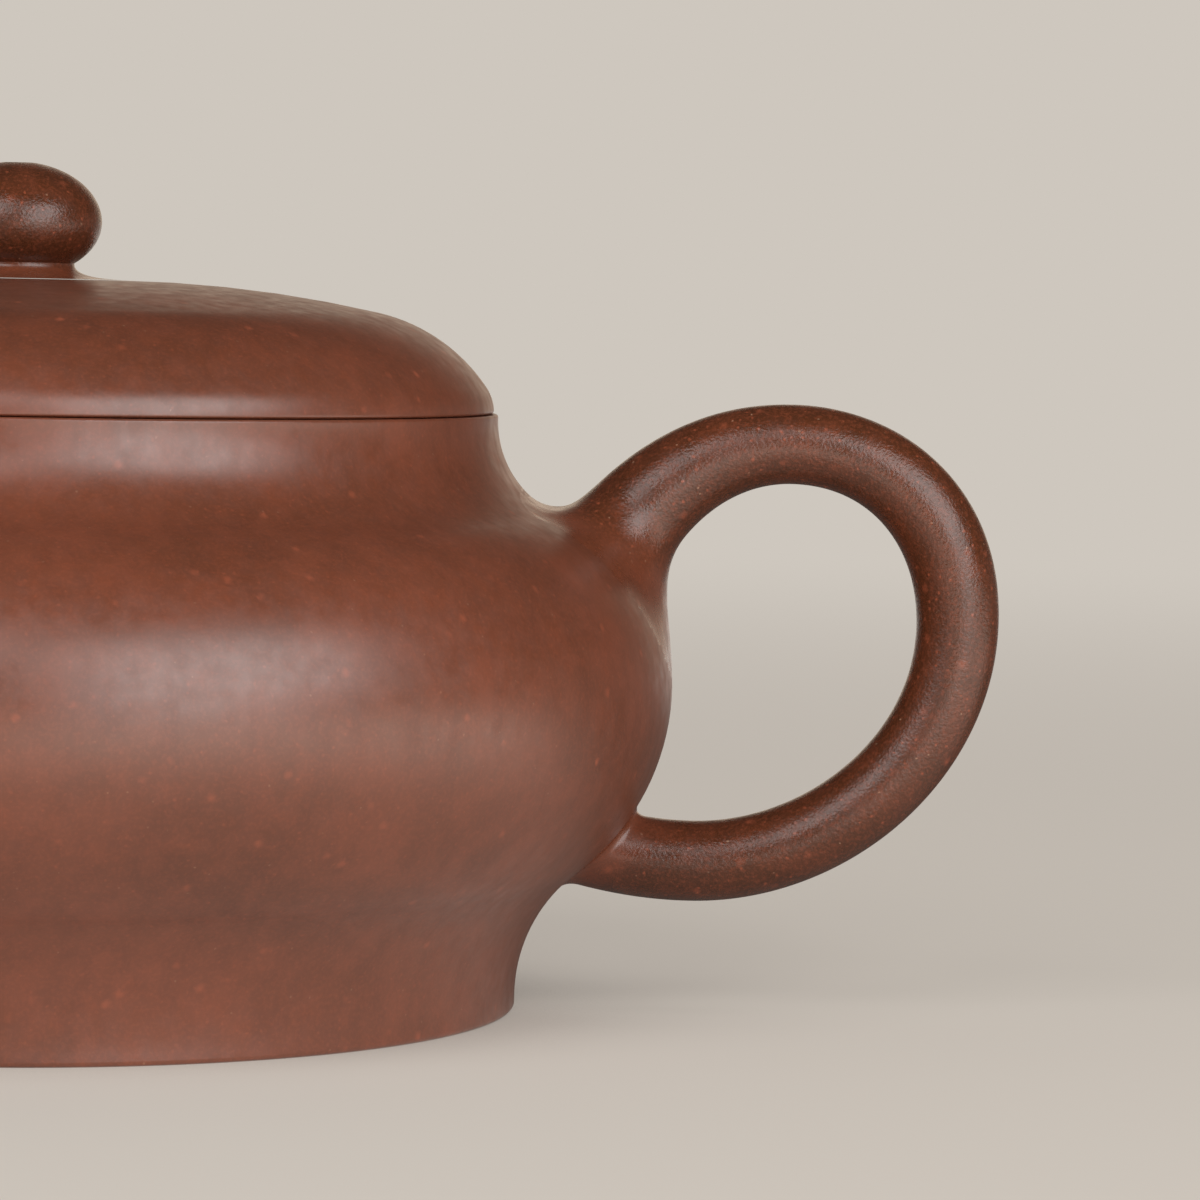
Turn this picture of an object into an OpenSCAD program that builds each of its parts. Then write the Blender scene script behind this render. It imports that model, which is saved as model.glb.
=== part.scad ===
// Round clay teapot built from slabs and coils: belly wall, shoulder disc, neck,
// base and foot ring, with a swept spout and ear-shaped handle and a lift-off lid.
// Millimetres. The origin is the centre of the foot's bottom face, +Z is up,
// +X points to the handle and -X to the spout.

/* [Pot] */
// Radius of the belly at its widest
belly_r = 50; // [49:0.1:52]
// Outer radius of the foot ring at the table
foot_r = 38.5; // [37.5:0.1:39.5]
// Outer radius of the neck below the seam
neck_r = 36.45; // [36.1:0.05:37]
// Height of the mouth rim above the table
rim_z = 44.9; // [44.7:0.05:45.5]
// Thickness of the belly wall
wall = 2.8; // [2.4:0.1:3.2]
// Radius of the mouth's bore
mouth_r = 32; // [31.5:0.1:32.5]

/* [Pot curves] */
// Hollow curve from the foot up to the belly
foot_curve_r = 12.5; // [11.5:0.1:13]
// Round of the belly below its widest
lower_belly_r = 17.6; // [16.5:0.1:18.5]
// Round of the belly above its widest
upper_belly_r = 13.7; // [13.2:0.1:14.2]
// Hollow curve from the shoulder up to the neck
neck_curve_r = 7.7; // [7.2:0.1:8.2]

/* [Foot and base] */
// Height of the straight edge under the foot's curve
foot_edge_z = 0.9; // [0.7:0.1:1.2]
// Inner radius of the foot ring
foot_bore_r = 33.4; // [32:0.1:34.5]
// Radius of the base disc
base_r = 36.6; // [36:0.1:37]
// Height of the chamber's floor
floor_z = 8.4; // [7.6:0.1:9]
// Thickness of the base disc
base_t = 3; // [2.5:0.1:3.5]

/* [Lid] */
// Outer radius of the lid at the seam
lid_r = 36.13; // [35.8:0.05:36.4]
// Gap at the seam between lid and rim
seam_gap = 0.1; // [0.05:0.05:0.3]
// Radius of the lid's rounded edge
lid_edge_r = 3.5; // [3.3:0.1:3.7]
// Turn of the rounded edge in degrees
lid_edge_turn = 35; // [33:1:37]
// Radius of the lid's shoulder
lid_shoulder_r = 13.4; // [12.9:0.1:13.9]
// Turn of the shoulder in degrees
lid_shoulder_turn = 43; // [41:1:45]
// Radius of the flat under the knob
lid_flat_r = 7.8; // [7.2:0.1:8.4]
// Thickness of the lid's dome
lid_wall = 2.6; // [2.2:0.1:3]
// Outer radius of the flange that enters the mouth
flange_r = 31.72; // [31.2:0.02:31.8]
// Inner radius of the flange
flange_bore_r = 28.7; // [28.2:0.1:29.2]
// Depth of the flange below the lid's seat
flange_h = 7.4; // [6:0.1:8]

/* [Knob] */
// Largest radius of the knob
knob_r = 6.32; // [5.8:0.02:6.6]
// Height of the knob's widest ring above the lid's top
knob_mid_h = 4.25; // [4:0.05:4.5]
// Height of the knob above its widest ring
knob_up_h = 4.5; // [4.2:0.05:4.8]
// Depth of the knob's round below its widest ring
knob_down_h = 4.2; // [4.1:0.05:4.4]
// Radius of the knob's waist
knob_waist_r = 4.3; // [4.1:0.05:4.5]
// Radius of the knob's spread foot
knob_foot_r = 6.4; // [5.8:0.1:7]
// Radius of the air hole at the knob's top
vent_r = 0.9; // [0.7:0.05:1.1]
// Radius of the air hole where it opens inside the lid
vent_inner_r = 1.9; // [1.4:0.1:2.4]

/* [Handle] */
// Height of the top of the handle's centre line
handle_top_z = 43.1; // [42.6:0.1:43.5]
// Distance of that top from the pot's axis
handle_top_x = 58.6; // [58:0.1:59]
// Farthest reach of the handle's centre line
handle_reach = 71.4; // [70.5:0.1:72]
// Height at which the handle reaches farthest
handle_reach_z = 29.9; // [29.4:0.1:30.4]
// Height of the bottom of the handle's centre line
handle_low_z = 11.4; // [11.2:0.1:11.8]
// Distance of that bottom from the pot's axis
handle_low_x = 51.8; // [51:0.1:52.5]
// Radius of the handle's bar
handle_r = 3.08; // [2.8:0.02:3.3]
// Radius of the bar at its upper root
handle_upper_root_r = 4.6; // [4.2:0.1:5]
// Radius of the bar at its lower root
handle_lower_root_r = 3.7; // [3.4:0.1:4]
// Extra radius of the bar on its far side
handle_swell = 0.16; // [0:0.02:0.3]

/* [Spout] */
// Height of the spout's root centre
spout_root_z = 24.5; // [24:0.1:25]
// Distance of the spout's tip centre from the pot's axis
spout_tip_x = 71; // [70:0.1:72]
// Height of the spout's tip centre
spout_tip_z = 44.6; // [44:0.1:45]
// Outer radius at the root, measured up and down
spout_root_r = 12.4; // [12:0.1:12.8]
// Outer radius at the tip
spout_tip_r = 5; // [4.9:0.05:5.2]
// Wall at the tip
spout_tip_wall = 1.45; // [1.3:0.05:1.5]
// Wall at the root
spout_root_wall = 2.6; // [2.4:0.1:2.8]
// Turn of the tip's cut towards level, in degrees
spout_tip_cut = 22; // [18:1:24]

/* [Strainer] */
// Radius of the pour hole in the belly wall, which the strainer fills
pour_hole_r = 7.4; // [7:0.1:7.8]
// Distance of the strainer's outer end from the pot's axis
strainer_reach = 48.2; // [48:0.1:48.6]
// Length of the strainer's collar in the wall
strainer_collar = 2.8; // [2.6:0.1:3.2]
// Thickness of the strainer's wall
strainer_t = 1.6; // [1.4:0.1:1.8]
// Radius of each strainer hole
strainer_hole_r = 0.8; // [0.7:0.05:0.85]

/* [Hidden] */
$fn = 96;
clay = "#7a4232";
// Steps in each arc of a turned outline
arc_steps = 10;
// Steps of the belly's upper arc that belong to the belly wall
wall_steps = 7;

// The lower turn takes the outline from the foot to the belly, the upper one on to the neck.
lower_turn = acos(1 - (belly_r - foot_r) / (foot_curve_r + lower_belly_r));
upper_turn = acos(1 - (belly_r - neck_r) / (upper_belly_r + neck_curve_r));
belly_z = foot_edge_z + (foot_curve_r + lower_belly_r) * sin(lower_turn);
shoulder_z = belly_z + upper_belly_r * sin(upper_turn);
disc_under_z = shoulder_z - wall * sin(upper_turn);
// Chamfer along the edges of rings
edge = 0.4;

// Lid heights, from the seat upwards
seat_z = rim_z + seam_gap;
plate_z = seat_z + lid_edge_r * sin(lid_edge_turn);
plate_r = lid_r - lid_edge_r * (1 - cos(lid_edge_turn));
dome_turn = 90 - lid_edge_turn - lid_shoulder_turn;
dome_start_r = plate_r - lid_shoulder_r * (cos(lid_edge_turn) - sin(dome_turn));
dome_curve_r = (dome_start_r - lid_flat_r) / sin(dome_turn);
lid_top_z = plate_z + lid_shoulder_r * (cos(dome_turn) - sin(lid_edge_turn))
            + dome_curve_r * (1 - cos(dome_turn));

// Points of an outline made of arcs that run into each other. Each arc is [radius, turn],
// with a left turn positive; p is the start and h the heading in degrees.
function arcs(p, h, list, i = 0) =
    i == len(list) ? [p] :
    let (side = sign(list[i][1]),
         c = p + side * list[i][0] * [-sin(h), cos(h)],
         pts = [for (k = [0:arc_steps]) arc_point(c, list[i][0], h, list[i][1] * k / arc_steps, side)])
    concat([for (k = [0:arc_steps - 1]) pts[k]],
           arcs(pts[arc_steps], h + list[i][1], list, i + 1));
function arc_point(c, r, h, turn, side) = c + side * r * [sin(h + turn), -cos(h + turn)];

// The pot's outline from foot to neck, moved inwards by t
function pot_outline(t) = arcs([foot_r - t, foot_edge_z], 90,
    [[foot_curve_r + t, -lower_turn], [lower_belly_r - t, lower_turn],
     [upper_belly_r - t, upper_turn], [neck_curve_r + t, -upper_turn]]);

// The lid's outline from its seat to the flat on top, moved inwards by t
function lid_outline(t) = arcs([lid_r - t, seat_z], 90,
    [[lid_edge_r - t, lid_edge_turn], [lid_shoulder_r - t, lid_shoulder_turn],
     [dome_curve_r - t, dome_turn]]);

outer = pot_outline(0);
inner = pot_outline(wall);
// Places in the outline where one piece ends and the next begins
foot_end = arc_steps;
wall_end = 2 * arc_steps + wall_steps;
shoulder_end = 3 * arc_steps;
neck_end = 4 * arc_steps;

// Part of a list of points, from one place to another in either direction
function stretch(list, from, to) = [for (i = [from:(to < from ? -1 : 1):to]) list[i]];

// A point on a cubic curve with four control points
function cubic(p, t) = p[0] * pow(1 - t, 3) + 3 * p[1] * t * pow(1 - t, 2)
                     + 3 * p[2] * t * t * (1 - t) + p[3] * pow(t, 3);
function cubic_heading(p, t) =
    let (d = (p[1] - p[0]) * pow(1 - t, 2) + 2 * (p[2] - p[1]) * t * (1 - t) + (p[3] - p[2]) * t * t)
    atan2(d[1], d[0]);

// A surface through rings in planes across the XZ plane, closed with flat ends, or as a loop of
// rings when looped. Each ring is [centre, heading, radius in the plane, radius along Y].
module swept(rings, sides, looped = false) {
    n = len(rings);
    points = [for (g = rings) for (k = [0:sides - 1])
              let (a = 360 * k / sides, u = g[2] * cos(a))
              [g[0][0] - u * sin(g[1]), g[3] * sin(a), g[0][1] + u * cos(g[1])]];
    spans = [for (i = [0:looped ? n - 1 : n - 2]) for (k = [0:sides - 1])
             [i * sides + k, (i + 1) % n * sides + k, (i + 1) % n * sides + (k + 1) % sides,
              i * sides + (k + 1) % sides]];
    ends = looped ? [] : [[for (k = [sides - 1:-1:0]) k], [for (k = [0:sides - 1]) (n - 1) * sides + k]];
    polyhedron(points, concat([for (s = spans) [s[0], s[2], s[1]]], [for (s = spans) [s[0], s[3], s[2]]], ends),
               convexity = 6);
}

// The pot's outer shape as one solid, which the spout and the handle are fitted against
module pot_solid() {
    rotate_extrude()
        polygon(concat([[0, 0], [foot_r, 0]], outer, [[neck_r, rim_z], [0, rim_z]]));
}

module body_wall() {
    color(clay) difference() {
        rotate_extrude()
            polygon(concat(stretch(outer, foot_end, wall_end), stretch(inner, wall_end, foot_end)));
        translate([-belly_r, 0, spout_root_z]) rotate([0, 90, 0])
            cylinder(r = pour_hole_r, h = 16, center = true);
    }
}

module shoulder_disc() {
    color(clay) rotate_extrude()
        polygon(concat(stretch(outer, wall_end, shoulder_end),
                       [[mouth_r, shoulder_z], [mouth_r, disc_under_z]],
                       stretch(inner, shoulder_end, wall_end)));
}

module neck_ring() {
    color(clay) rotate_extrude()
        polygon(concat([[mouth_r, shoulder_z]], stretch(outer, shoulder_end, neck_end),
                       [[neck_r - edge / 2, rim_z], [mouth_r + edge, rim_z], [mouth_r, rim_z - edge]]));
}

module base_disc() {
    color(clay) translate([0, 0, floor_z - base_t])
        cylinder(r = base_r, h = base_t);
}

module foot_ring() {
    inside = [for (p = stretch(inner, foot_end, 0)) if (p[1] > floor_z + 0.2) p];
    color(clay) rotate_extrude()
        polygon(concat([[foot_bore_r + edge, 0], [foot_r - edge, 0], [foot_r, edge]],
                       stretch(outer, 0, foot_end), inside,
                       [[base_r + edge, floor_z], [base_r, floor_z], [base_r, floor_z - base_t],
                        [foot_bore_r, floor_z - base_t], [foot_bore_r, edge]]));
}

// The spout's centre line starts inside the belly and rises to the tip.
spout_line = [[-38, spout_root_z - 1], [-55, spout_root_z - 0.5],
              [-spout_tip_x + 6.5, spout_tip_z - 13], [-spout_tip_x, spout_tip_z]];
spout_steps = 20;
// Radius of the spout at t, falling fast at first; inset makes room for the wall
function spout_radius(t, inset) =
    spout_tip_r + (spout_root_r - spout_tip_r) * pow(1 - t, 1.7)
    - inset * (spout_tip_wall + (spout_root_wall - spout_tip_wall) * pow(1 - t, 1.7));
function spout_ring(t, inset) =
    let (cut = spout_tip_cut * pow(max(0, (t - 0.6) / 0.4), 2),
         r = spout_radius(t, inset))
    [cubic(spout_line, t), cubic_heading(spout_line, t) - cut, r / cos(cut), r * (1 - 0.16 * (1 - t))];

// The tube's rings run out along the outside and come back along the bore.
module spout() {
    color(clay) difference() {
        swept(concat([for (i = [0:spout_steps]) spout_ring(i / spout_steps, 0)],
                     [for (i = [spout_steps:-1:0]) spout_ring(i / spout_steps, 1)]), 24, true);
        pot_solid();
    }
}

// The strainer is a collar in the pour hole with a dome that bulges into the chamber.
// Its holes stand in rings round the dome, given as [degrees off the axis, count].
strainer_rings = [[0, 1], [20, 6], [40, 12], [60, 16]];
function dome_arc(r, from, to) =
    [for (k = [0:arc_steps]) let (a = from + (to - from) * k / arc_steps)
     [r * cos(a), strainer_collar + r * sin(a)]];
module strainer() {
    color(clay) translate([-strainer_reach, 0, spout_root_z]) rotate([0, 90, 0]) difference() {
        rotate_extrude()
            polygon(concat([[pour_hole_r, 0]], dome_arc(pour_hole_r, 0, 90),
                           dome_arc(pour_hole_r - strainer_t, 90, 0), [[pour_hole_r - strainer_t, 0]]));
        for (g = strainer_rings)
            for (k = [0:g[1] - 1])
                translate([0, 0, strainer_collar]) rotate([0, g[0], 360 * (k + 0.5) / g[1]])
                    translate([0, 0, pour_hole_r - strainer_t - 0.4])
                        cylinder(r = strainer_hole_r, h = strainer_t + 0.8, $fn = 24);
    }
}

// Centre line of the handle in four cubic curves, from the upper root round to the lower one
handle_line = [
    [[44, 32.7], [46.9, 38.6], [handle_top_x - 6.6, handle_top_z], [handle_top_x, handle_top_z]],
    [[handle_top_x, handle_top_z], [handle_top_x + 7.3, handle_top_z],
     [handle_reach, handle_reach_z + 8], [handle_reach, handle_reach_z]],
    [[handle_reach, handle_reach_z], [handle_reach, handle_reach_z - 10.3],
     [handle_low_x + 9.8, handle_low_z], [handle_low_x, handle_low_z]],
    [[handle_low_x, handle_low_z], [handle_low_x - 4, handle_low_z], [44, 12.2], [40, 13.6]]];
handle_steps = 8;
// The bar swells towards both roots and a little on its far side.
function handle_radius(u) =
    handle_r + (handle_upper_root_r - handle_r) * pow(max(0, 1 - 4 * u), 1.6)
    + (handle_lower_root_r - handle_r) * pow(max(0, (u - 0.55) / 0.45), 1.3)
    + handle_swell * pow(sin(180 * min(1, max(0, (u - 0.28) / 0.32))), 2);
function handle_ring(u) =
    let (i = min(3, floor(u * 4)), t = u * 4 - i, r = handle_radius(u))
    [cubic(handle_line[i], t), cubic_heading(handle_line[i], t), r, r * 1.06];

module handle() {
    color(clay) difference() {
        swept([for (k = [0:4 * handle_steps]) handle_ring(k / (4 * handle_steps))], 20);
        pot_solid();
    }
}

module lid_plate() {
    color(clay) rotate_extrude()
        polygon(concat([[flange_bore_r, seat_z], [lid_r - edge / 2, seat_z]],
                       stretch(lid_outline(0), 1, arc_steps),
                       [[flange_bore_r, plate_z]]));
}

module lid_dome() {
    color(clay) difference() {
        rotate_extrude()
            polygon(concat([[0, plate_z]], stretch(lid_outline(0), arc_steps, 3 * arc_steps),
                           [[0, lid_top_z]]));
        rotate_extrude()
            polygon(concat([[0, seat_z]], stretch(lid_outline(lid_wall), arc_steps, 3 * arc_steps),
                           [[0, lid_top_z - lid_wall]]));
        translate([0, 0, plate_z]) cylinder(r = vent_inner_r, h = 12);
    }
}

module lid_flange() {
    color(clay) rotate_extrude()
        polygon([[flange_bore_r, seat_z], [flange_r, seat_z], [flange_r, seat_z - flange_h + edge],
                 [flange_r - edge, seat_z - flange_h], [flange_bore_r + edge, seat_z - flange_h],
                 [flange_bore_r, seat_z - flange_h + edge]]);
}

// The knob's foot spreads on the lid, its waist runs into a flattened ball.
module knob() {
    mid_z = lid_top_z + knob_mid_h;
    waist_a = -acos(knob_waist_r / knob_r);
    waist_z = mid_z + knob_down_h * sin(waist_a);
    spread = [[knob_foot_r, lid_top_z], [knob_waist_r + 0.6, lid_top_z + 0.05],
              [knob_waist_r - 0.1, waist_z - 0.5], [knob_waist_r, waist_z]];
    ball = [for (k = [1:24])
            let (a = waist_a + (90 - waist_a) * k / 24)
            [knob_r * cos(a), mid_z + (a < 0 ? knob_down_h : knob_up_h) * sin(a)]];
    color(clay) difference() {
        rotate_extrude()
            polygon(concat([[0, lid_top_z]], [for (k = [0:8]) cubic(spread, k / 8)],
                           stretch(ball, 0, 22), [[0, mid_z + knob_up_h]]));
        translate([0, 0, lid_top_z - 1]) cylinder(r = vent_r, h = 12);
        translate([0, 0, lid_top_z - 0.5]) cylinder(r1 = vent_inner_r, r2 = vent_r, h = 4);
    }
}

body_wall();
shoulder_disc();
neck_ring();
base_disc();
foot_ring();
spout();
strainer();
handle();
lid_plate();
lid_dome();
lid_flange();
knob();
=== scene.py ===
# Round clay teapot. Every clay piece is worked out as a smooth surface from the pot's own sizes, in
# metres, and stands where the solid of the same part stands.
from math import acos, asin, atan2, ceil, copysign, cos, pi, radians, sin, sqrt

import bpy
import numpy as np
from bpy.props import FloatProperty, FloatVectorProperty, PointerProperty
from bpy.types import Operator, PropertyGroup
from mathutils import Matrix, Vector


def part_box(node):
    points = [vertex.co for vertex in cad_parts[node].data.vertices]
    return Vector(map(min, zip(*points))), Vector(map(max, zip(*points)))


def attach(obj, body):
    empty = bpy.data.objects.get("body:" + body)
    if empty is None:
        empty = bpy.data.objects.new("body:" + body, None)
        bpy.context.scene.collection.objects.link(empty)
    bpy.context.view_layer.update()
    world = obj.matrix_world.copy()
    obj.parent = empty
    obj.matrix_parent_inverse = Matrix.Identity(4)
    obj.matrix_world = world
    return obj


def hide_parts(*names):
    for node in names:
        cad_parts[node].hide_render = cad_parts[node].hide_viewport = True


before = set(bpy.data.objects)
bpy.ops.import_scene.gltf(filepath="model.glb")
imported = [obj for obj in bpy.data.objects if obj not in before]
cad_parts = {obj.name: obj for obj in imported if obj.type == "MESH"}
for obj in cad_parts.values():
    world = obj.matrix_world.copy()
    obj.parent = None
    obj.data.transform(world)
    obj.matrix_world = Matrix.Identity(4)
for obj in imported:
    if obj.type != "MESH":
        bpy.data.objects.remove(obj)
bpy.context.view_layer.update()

bl_info = {
    "name": "Round clay teapot",
    "version": (1, 0, 0),
    "blender": (4, 5, 0),
    "location": "3D View > Sidebar > Teapot",
    "description": "Builds a slab-built clay teapot with a lift-off lid, and a plain stage for it",
    "category": "Object",
}

MM = 0.001
QUARTER = pi / 2
SIDES = 256  # Steps round a turned piece
ARC_STEP = radians(3)  # Largest turn between two points of an outline
LIMB_SIDES = 96  # Steps round the handle and the spout
SINK = 0.004 * MM  # How far a limb's edge lies under the body's surface
PAST = 0.4 * MM  # How far a cutting tool stands past a wall
SAMPLES = 3000  # Steps in which a limb's line is searched for the body's surface
CORNER = (0, QUARTER)  # A sharp corner to the left in an outline
TURNS = np.arange(LIMB_SIDES) * 2 * pi / LIMB_SIDES  # The places round a limb


# --- Sizes and colours


def maker(scale=1.0, **kind):
    """A function that makes a number property of one kind, whose default is given times scale."""
    return lambda name, description, value: FloatProperty(name=name, description=description,
                                                          default=value * scale, **kind)


length = maker(MM, min=0, unit="LENGTH", subtype="DISTANCE", precision=5)  # Given in millimetres
angle = maker(pi / 180, unit="ROTATION", subtype="ANGLE")  # Given in degrees
power = maker(min=0, unit="POWER")  # Given in watts
share = maker(min=0, max=1, subtype="FACTOR")  # From 0 to 1


def linear(code):
    """A colour written as #RRGGBB in sRGB, turned to linear: below 0.04045 it is divided by 12.92,
    and above it is 0.055 added, divided by 1.055 and raised to 2.4. Alpha is 1."""
    parts = [int(code[i:i + 2], 16) / 255 for i in (1, 3, 5)]
    return (*[p / 12.92 if p <= 0.04045 else ((p + 0.055) / 1.055) ** 2.4 for p in parts], 1)


def colour(name, description, code):
    """A property for a colour, whose default is given as #RRGGBB."""
    return FloatVectorProperty(name=name, description=description, default=linear(code), size=4,
                               min=0, max=1, subtype="COLOR")


class TeapotBodySizes(PropertyGroup):
    """Sizes of the pot's turned body"""
    belly: length("Belly radius", "Radius of the belly at its widest", 50)
    foot: length("Foot radius", "Outer radius of the foot ring at the table", 38.5)
    neck: length("Neck radius", "Outer radius of the neck below the seam", 36.45)
    rim: length("Rim height", "Height of the mouth's rim above the table", 44.9)
    wall: length("Wall", "Thickness of the belly's wall", 2.8)
    mouth: length("Mouth radius", "Radius of the mouth's bore", 32)
    foot_curve: length("Foot curve", "Radius of the hollow curve from the foot to the belly", 12.5)
    lower_belly: length("Lower belly", "Radius of the belly's round below its widest", 17.6)
    upper_belly: length("Upper belly", "Radius of the belly's round above its widest", 13.7)
    neck_curve: length("Neck curve", "Radius of the hollow curve from shoulder to neck", 7.7)
    shoulder_share: share("Shoulder joint", "Share of the upper round that the belly wall takes", 0.7)
    foot_edge: length("Foot edge", "Height of the straight edge under the foot's curve", 0.9)
    foot_bore: length("Foot bore", "Inner radius of the foot ring", 33.4)
    foot_round: length("Foot rounding", "Rounding along the foot's two edges", 0.4)
    base: length("Base radius", "Radius of the base disc", 36.6)
    floor: length("Floor height", "Height of the chamber's floor", 8.4)
    base_thickness: length("Base thickness", "Thickness of the base disc", 3)
    floor_fillet: length("Floor fillet", "Radius of the clay pressed along the floor's corner", 1.5)
    rim_round: length("Rim rounding", "Rounding along the rim's outer edge", 0.22)
    bore_round: length("Bore rounding", "Rounding along the bore's two edges", 0.4)
    pour_hole: length("Pour hole radius", "Radius of the hole behind the spout", 7.4)
    pour_height: length("Pour hole height", "Height of the pour hole's centre", 24.5)


class TeapotLidSizes(PropertyGroup):
    """Sizes of the lid"""
    radius: length("Lid radius", "Outer radius of the lid at the seam", 36.13)
    seam: length("Seam gap", "Gap between the lid and the rim", 0.05)
    edge: length("Edge radius", "Radius of the lid's rounded edge", 3.5)
    edge_turn: angle("Edge turn", "Turn of the rounded edge", 35)
    shoulder: length("Shoulder radius", "Radius of the lid's shoulder", 13.4)
    shoulder_turn: angle("Shoulder turn", "Turn of the shoulder", 43)
    flat: length("Flat radius", "Radius of the flat under the knob", 7.8)
    wall: length("Wall", "Thickness of the lid's dome", 2.6)
    seat_round: length("Seat rounding", "Rounding along the lid's lower edge", 0.25)
    flange: length("Flange radius", "Outer radius of the flange that enters the mouth", 31.72)
    flange_bore: length("Flange bore", "Inner radius of the flange", 28.7)
    flange_depth: length("Flange depth", "Depth of the flange below the seat", 7.4)
    flange_round: length("Flange rounding", "Rounding along the flange's lower edges", 0.5)


class TeapotKnobSizes(PropertyGroup):
    """Sizes of the knob"""
    radius: length("Knob radius", "Largest radius of the knob", 6.32)
    middle: length("Middle height", "Height of the widest ring above the lid's top", 4.25)
    up: length("Upper depth", "Height of the knob above its widest ring", 4.5)
    down: length("Lower depth", "Depth of the knob's round below its widest ring", 4.2)
    waist: length("Waist radius", "Radius of the knob's waist", 4.3)
    spread: length("Foot radius", "Radius where the knob's foot runs out on the lid", 7.9)
    vent: length("Vent radius", "Radius of the air hole at the top", 0.9)
    vent_inner: length("Inner vent radius", "Radius of the air hole inside the lid", 1.9)


class TeapotHandleSizes(PropertyGroup):
    """Sizes of the handle"""
    top_x: length("Top distance", "Distance of the centre line's top from the axis", 58.6)
    top_z: length("Top height", "Height of the centre line's top", 43.1)
    reach: length("Reach", "Farthest reach of the centre line", 71.47)
    reach_z: length("Reach height", "Height at which it reaches farthest", 29.9)
    low_x: length("Bottom distance", "Distance of the centre line's bottom from the axis", 51.8)
    low_z: length("Bottom height", "Height of the centre line's bottom", 11.4)
    bar: length("Bar radius", "Radius of the bar", 3.0)
    upper_root: length("Upper root radius", "Radius of the bar inside its upper root", 4.45)
    lower_root: length("Lower root radius", "Radius of the bar inside its lower root", 3.1)
    swell: length("Swell", "Extra radius of the bar on its far side", 0.16)


class TeapotSpoutSizes(PropertyGroup):
    """Sizes of the spout"""
    tip_x: length("Tip distance", "Distance of the tip's centre from the axis", 71)
    tip_z: length("Tip height", "Height of the tip's centre", 44.6)
    root: length("Root radius", "Outer radius at the root, up and down", 12.4)
    tip: length("Tip radius", "Outer radius at the tip", 5)
    tip_wall: length("Tip wall", "Wall at the tip", 1.45)
    root_wall: length("Root wall", "Wall at the root", 2.6)
    tip_cut: angle("Tip cut", "Turn of the tip's cut towards level", 22)


class TeapotStrainerSizes(PropertyGroup):
    """Sizes of the strainer in the pour hole"""
    reach: length("Reach", "Distance of its outer end from the pot's axis", 48.2)
    collar: length("Collar", "Length of its collar in the wall", 2.8)
    thickness: length("Thickness", "Thickness of its wall", 1.6)
    hole: length("Hole radius", "Radius of each hole", 0.8)


class TeapotClay(PropertyGroup):
    """Colours and grain of the fired clay"""
    ground: colour("Ground", "Red-brown of the fired clay", "#673825")
    pale: colour("Pale patches", "Slightly paler clay in soft patches", "#743F2B")
    limb: colour("Limb clay", "Browner clay of the handle, spout and knob", "#512B18")
    dark: colour("Dark grains", "Iron-dark grains", "#3A1E17")
    orange: colour("Orange grains", "Orange sand grains", "#A9573B")
    cream: colour("Cream grains", "Cream and tan sand grains", "#C79B7D")
    inside: colour("Inside", "Unburnished clay inside the pot", "#8C5540")
    grain: length("Grain size", "Spacing of the orange grains", 0.8)
    roughness: share("Roughness", "Roughness of the burnished clay", 0.36)


class TeapotStage(PropertyGroup):
    """Colours and light of the stage"""
    backdrop: colour("Backdrop", "Warm grey behind the pot", "#CEC7BE")
    floor: colour("Floor", "Pale floor under the pot", "#D0C8BF")
    weave: colour("Cloth", "The floor's cloth without the room's light on it", "#9F9991")
    glow: colour("Glow", "Warm light of the backdrop low behind the pot", "#F0DCC4")
    dim: colour("Dim room", "The unlit part of the room, which the pot mirrors", "#302E2C")
    key: power("Key light", "Power of the soft light from the front right", 3.5)
    low: power("Low light", "Power of the long light just above the floor on the right", 1.0)
    front: power("Front light", "Power of the soft light high in front", 2.8)
    left: power("Left light", "Power of the wide light from the left", 2.1)


# --- Surfaces


def section(start, heading, runs):
    """The outline of a turned wall in the half plane of radius and height, from a start point and a
    heading in radians. Each run is (size, turn, finish): an arc of that radius turned by that angle,
    with left turns positive, where each point is the arc's centre plus the radius times (sin, -cos) of
    the heading there; a straight of that length where the turn is 0; or a sharp corner where the size
    is 0. A last straight closes an outline that isn't on the axis. The clay lies to the left, so the
    normal is (sin, -cos) of the heading. Returns (points, normals, finish) for each arc or straight."""
    p, h, made = np.array(start, float), heading, []
    for size, turn, *finish in runs:
        if size and turn:
            side = copysign(1, turn)
            head = h + turn * np.linspace(0, 1, max(3, ceil(abs(turn) / ARC_STEP)) + 1)
            normals = np.stack([np.sin(head), -np.cos(head)], 1)
            points = p + side * size * (normals - normals[0])
        elif size:
            points = p + np.outer([0, size], [cos(h), sin(h)])
            normals = np.tile([sin(h), -cos(h)], (2, 1))
        h += turn
        if size:
            made.append((points, normals, finish[0] if finish else 0))
            p = points[-1]
    gap = np.array(start, float) - p
    if np.hypot(*gap) > 1e-7 and max(start[0], p[0]) > 1e-7:
        across = gap / np.hypot(*gap)
        made.append((np.stack([p, p + gap]), np.tile([across[1], -across[0]], (2, 1)), 0))
    return made


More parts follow.
